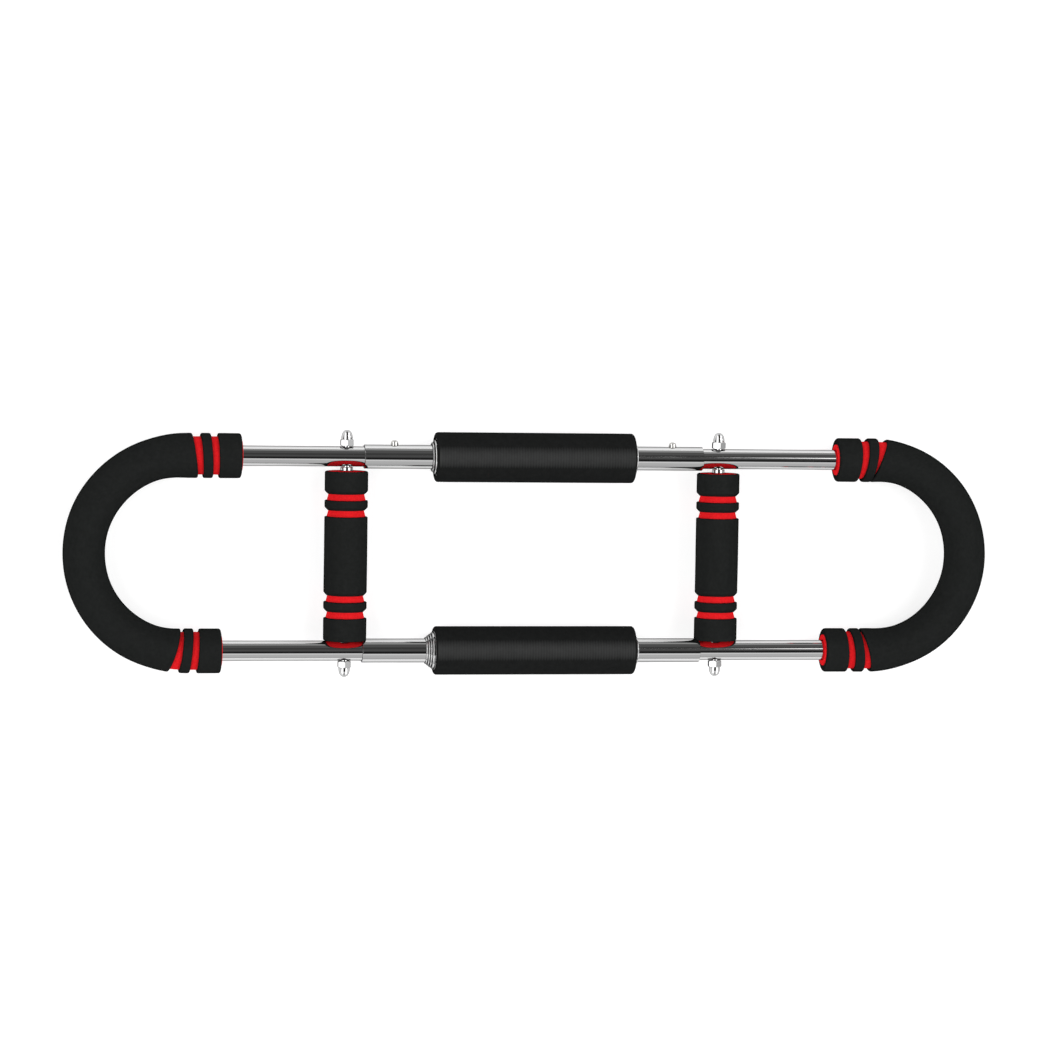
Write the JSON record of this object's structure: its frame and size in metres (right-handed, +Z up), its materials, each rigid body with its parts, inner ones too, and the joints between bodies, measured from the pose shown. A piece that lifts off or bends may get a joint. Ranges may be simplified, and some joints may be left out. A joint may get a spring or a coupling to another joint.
{
  "type": "double spring arm exerciser",
  "caption": "Chrome tube arm exerciser with U-shaped foam handles, cross grips and sprung padded middle bars that bend in an arc",
  "frame": {"origin": "on the surface the pads lie on, at the middle of the object's plan", "axes": "+X along the springs towards the right handle, +Y across towards the row with the snap buttons, +Z up"},
  "size_m": [0.747, 0.1958, 0.0395],
  "materials": {
    "chrome": "bright chrome plate on steel tube",
    "spring_steel": "oiled spring steel wire and strip",
    "button_steel": "zinc plated snap button",
    "black_foam": "black closed-cell foam rubber, fine matte skin",
    "red_foam": "red closed-cell foam rubber, ground face",
    "pad_foam": "black ribbed foam rubber, satin"
  },
  "bodies": {
    "spring_middle": {"upper_pad": "pad_foam", "lower_pad": "pad_foam", "upper_spring_middle": "spring_steel", "lower_spring_middle": "spring_steel"},
    "left_spring_inner": {"upper_spring_left_inner": "spring_steel", "lower_spring_left_inner": "spring_steel"},
    "left_spring_outer": {"upper_spring_left_outer": "spring_steel", "lower_spring_left_outer": "spring_steel"},
    "left_arm": {"left_u_tube": "chrome", "left_handle_foam_core": "red_foam", "left_handle_foam_lower_end": "black_foam", "left_handle_foam_lower_ring": "black_foam", "left_handle_foam_middle": "black_foam", "left_handle_foam_upper_ring": "black_foam", "left_handle_foam_upper_end": "black_foam", "left_grip_spindle": "chrome", "left_grip_foam_core": "red_foam", "left_grip_foam_lower_end": "black_foam", "left_grip_foam_lower_ring": "black_foam", "left_grip_foam_middle": "black_foam", "left_grip_foam_upper_ring": "black_foam", "left_grip_foam_upper_end": "black_foam", "left_upper_acorn_nut": "chrome", "left_upper_sleeve": "chrome", "left_upper_collar": "chrome", "upper_spring_left_arm": "spring_steel", "left_lower_acorn_nut": "chrome", "left_lower_sleeve": "chrome", "left_lower_collar": "chrome", "lower_spring_left_arm": "spring_steel", "left_button_leaf_spring": "spring_steel"},
    "left_button": {"left_snap_button": "button_steel"},
    "right_spring_inner": {"upper_spring_right_inner": "spring_steel", "lower_spring_right_inner": "spring_steel"},
    "right_spring_outer": {"upper_spring_right_outer": "spring_steel", "lower_spring_right_outer": "spring_steel"},
    "right_arm": {"right_u_tube": "chrome", "right_handle_foam_core": "red_foam", "right_handle_foam_lower_end": "black_foam", "right_handle_foam_lower_ring": "black_foam", "right_handle_foam_middle": "black_foam", "right_handle_foam_upper_ring": "black_foam", "right_handle_foam_upper_end": "black_foam", "right_grip_spindle": "chrome", "right_grip_foam_core": "red_foam", "right_grip_foam_lower_end": "black_foam", "right_grip_foam_lower_ring": "black_foam", "right_grip_foam_middle": "black_foam", "right_grip_foam_upper_ring": "black_foam", "right_grip_foam_upper_end": "black_foam", "right_upper_acorn_nut": "chrome", "right_upper_sleeve": "chrome", "right_upper_collar": "chrome", "upper_spring_right_arm": "spring_steel", "right_lower_acorn_nut": "chrome", "right_lower_sleeve": "chrome", "right_lower_collar": "chrome", "lower_spring_right_arm": "spring_steel", "right_button_leaf_spring": "spring_steel"},
    "right_button": {"right_snap_button": "button_steel"}
  },
  "joints": [
    {"name": "bend_left_inner", "type": "hinge", "parent": "spring_middle", "child": "left_spring_inner", "pos_m": [-0.011, 0, 0.01975], "axis": [0, 1, 0], "range_deg": [0, 25], "stiffness_Nm_per_rad": 200, "deforming": ["upper_pad", "lower_pad", "upper_spring_middle", "upper_spring_left_inner", "lower_spring_middle", "lower_spring_left_inner"]},
    {"name": "bend_left_outer", "type": "hinge", "parent": "left_spring_inner", "child": "left_spring_outer", "pos_m": [-0.033, 0, 0.01975], "axis": [0, 1, 0], "range_deg": [0, 25], "stiffness_Nm_per_rad": 200, "deforming": ["upper_pad", "lower_pad", "upper_spring_left_inner", "upper_spring_left_outer", "lower_spring_left_inner", "lower_spring_left_outer"]},
    {"name": "bend_left_end", "type": "hinge", "parent": "left_spring_outer", "child": "left_arm", "pos_m": [-0.055, 0, 0.01975], "axis": [0, 1, 0], "range_deg": [0, 25], "stiffness_Nm_per_rad": 200, "deforming": ["upper_pad", "lower_pad", "upper_spring_left_outer", "upper_spring_left_arm", "lower_spring_left_outer", "lower_spring_left_arm"]},
    {"name": "left_button_press", "type": "slide", "parent": "left_arm", "child": "left_button", "axis": [0, -1, 0], "range_m": [0, 0.0055], "stiffness_N_per_m": 1500, "springref_m": -0.003, "deforming": ["left_button_leaf_spring"]},
    {"name": "bend_right_inner", "type": "hinge", "parent": "spring_middle", "child": "right_spring_inner", "pos_m": [0.011, 0, 0.01975], "axis": [0, -1, 0], "range_deg": [0, 25], "stiffness_Nm_per_rad": 200, "deforming": ["upper_pad", "lower_pad", "upper_spring_middle", "upper_spring_right_inner", "lower_spring_middle", "lower_spring_right_inner"]},
    {"name": "bend_right_outer", "type": "hinge", "parent": "right_spring_inner", "child": "right_spring_outer", "pos_m": [0.033, 0, 0.01975], "axis": [0, -1, 0], "range_deg": [0, 25], "stiffness_Nm_per_rad": 200, "deforming": ["upper_pad", "lower_pad", "upper_spring_right_inner", "upper_spring_right_outer", "lower_spring_right_inner", "lower_spring_right_outer"]},
    {"name": "bend_right_end", "type": "hinge", "parent": "right_spring_outer", "child": "right_arm", "pos_m": [0.055, 0, 0.01975], "axis": [0, -1, 0], "range_deg": [0, 25], "stiffness_Nm_per_rad": 200, "deforming": ["upper_pad", "lower_pad", "upper_spring_right_outer", "upper_spring_right_arm", "lower_spring_right_outer", "lower_spring_right_arm"]},
    {"name": "right_button_press", "type": "slide", "parent": "right_arm", "child": "right_button", "axis": [0, -1, 0], "range_m": [0, 0.0055], "stiffness_N_per_m": 1500, "springref_m": -0.003, "deforming": ["right_button_leaf_spring"]}
  ],
  "couplings": [
    {"joint": "bend_left_outer", "follows": "bend_left_inner", "ratio": 1},
    {"joint": "bend_left_end", "follows": "bend_left_inner", "ratio": 1},
    {"joint": "bend_right_inner", "follows": "bend_left_inner", "ratio": 1},
    {"joint": "bend_right_outer", "follows": "bend_left_inner", "ratio": 1},
    {"joint": "bend_right_end", "follows": "bend_left_inner", "ratio": 1}
  ]
}
